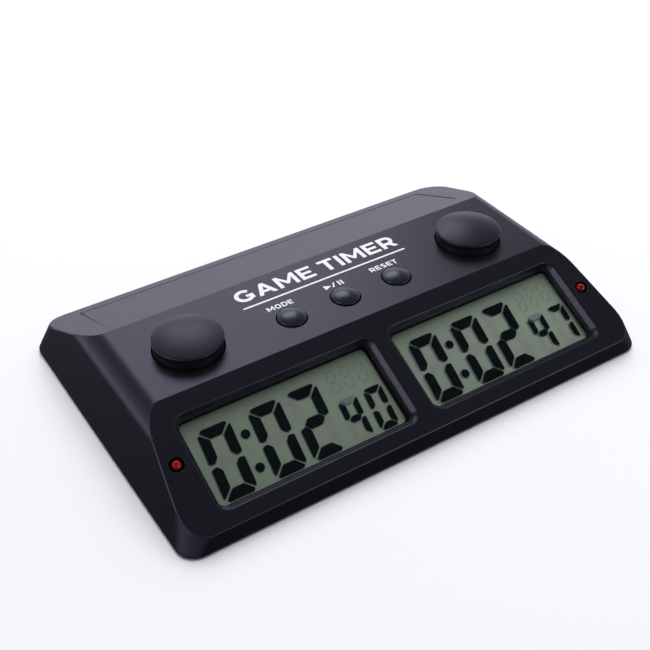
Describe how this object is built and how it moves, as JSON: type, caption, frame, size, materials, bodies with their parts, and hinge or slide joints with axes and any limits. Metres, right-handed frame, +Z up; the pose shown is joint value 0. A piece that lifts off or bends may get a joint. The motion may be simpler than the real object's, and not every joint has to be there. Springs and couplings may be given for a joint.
{
  "type": "digital chess clock",
  "caption": "Low wedge-topped table clock: sloping panel with displays and lamps, flat deck with domed player buttons and small control buttons.",
  "frame": {"origin": "on the table, under the middle of the clock", "axes": "+X to the reader's right, +Y to the back, +Z up"},
  "size_m": [0.205, 0.135, 0.0362],
  "materials": {
    "casing_plastic": "black, finely textured, satin",
    "cover_plastic": "black, matt",
    "button_plastic": "black, satin, smooth",
    "foot_rubber": "dark grey, matt",
    "screw_steel": "zinc plated",
    "window_clear": "clear, polished",
    "lcd_glass": "grey-green reflective display",
    "frame_plastic": "black, matt",
    "ribbon_film": "amber film with tracks",
    "led_red": "red, diffused, glossy",
    "circuit_board": "green solder mask",
    "wire_red": "red sleeve",
    "wire_black": "black sleeve",
    "spring_steel": "bright drawn wire",
    "contact_plate": "nickel plated",
    "switch_plastic": "black moulding",
    "chip_plastic": "moulded package",
    "crystal_can": "drawn can",
    "buzzer_plastic": "black moulding",
    "cell_wrap": "plain blue wrapper"
  },
  "bodies": {
    "casing": {"top_casing": "casing_plastic", "bottom_cover": "cover_plastic", "foot_front_left": "foot_rubber", "foot_front_right": "foot_rubber", "foot_rear_left": "foot_rubber", "foot_rear_right": "foot_rubber", "case_screw_1": "screw_steel", "case_screw_2": "screw_steel", "case_screw_3": "screw_steel", "case_screw_4": "screw_steel", "case_screw_5": "screw_steel", "case_screw_6": "screw_steel", "board_screw_1": "screw_steel", "board_screw_2": "screw_steel", "board_screw_3": "screw_steel", "board_screw_4": "screw_steel", "window_left": "window_clear", "lcd_left": "lcd_glass", "lcd_frame_left": "frame_plastic", "lcd_ribbon_left": "ribbon_film", "led_left": "led_red", "led_board_left": "circuit_board", "led_lead_left": "wire_red", "player_spring_left": "spring_steel", "player_switch_left": "switch_plastic", "window_right": "window_clear", "lcd_right": "lcd_glass", "lcd_frame_right": "frame_plastic", "lcd_ribbon_right": "ribbon_film", "led_right": "led_red", "led_board_right": "circuit_board", "led_lead_right": "wire_red", "player_spring_right": "spring_steel", "player_switch_right": "switch_plastic", "mode_switch": "switch_plastic", "play_pause_switch": "switch_plastic", "reset_switch": "switch_plastic", "main_board": "circuit_board", "controller_chip": "chip_plastic", "clock_crystal": "crystal_can", "buzzer": "buzzer_plastic", "battery_cell_front": "cell_wrap", "battery_cell_rear": "cell_wrap", "contact_spring_front": "spring_steel", "contact_spring_rear": "spring_steel", "battery_link": "contact_plate", "positive_plate": "contact_plate", "negative_plate": "contact_plate", "positive_wire": "wire_red", "negative_wire": "wire_black"},
    "player_left": {"player_button_left": "button_plastic"},
    "player_right": {"player_button_right": "button_plastic"},
    "mode": {"mode_button": "button_plastic"},
    "play_pause": {"play_pause_button": "button_plastic"},
    "reset": {"reset_button": "button_plastic"},
    "door": {"battery_door": "cover_plastic"}
  },
  "joints": [
    {"name": "player_press_left", "type": "slide", "parent": "casing", "child": "player_left", "axis": [0, 0, -1], "range_m": [0, 0.0025], "stiffness_N_per_m": 300, "springref_m": -0.003, "deforming": ["player_spring_left"]},
    {"name": "player_press_right", "type": "slide", "parent": "casing", "child": "player_right", "axis": [0, 0, -1], "range_m": [0, 0.0025], "stiffness_N_per_m": 300, "springref_m": -0.003, "deforming": ["player_spring_right"]},
    {"name": "mode_press", "type": "slide", "parent": "casing", "child": "mode", "axis": [0, 0, -1], "range_m": [0, 0.0008], "stiffness_N_per_m": 800, "springref_m": -0.0005},
    {"name": "play_pause_press", "type": "slide", "parent": "casing", "child": "play_pause", "axis": [0, 0, -1], "range_m": [0, 0.0008], "stiffness_N_per_m": 800, "springref_m": -0.0005},
    {"name": "reset_press", "type": "slide", "parent": "casing", "child": "reset", "axis": [0, 0, -1], "range_m": [0, 0.0008], "stiffness_N_per_m": 800, "springref_m": -0.0005},
    {"name": "door_release", "type": "slide", "parent": "casing", "child": "door", "axis": [0, 0, -1], "range_m": [0, 0.03]}
  ]
}
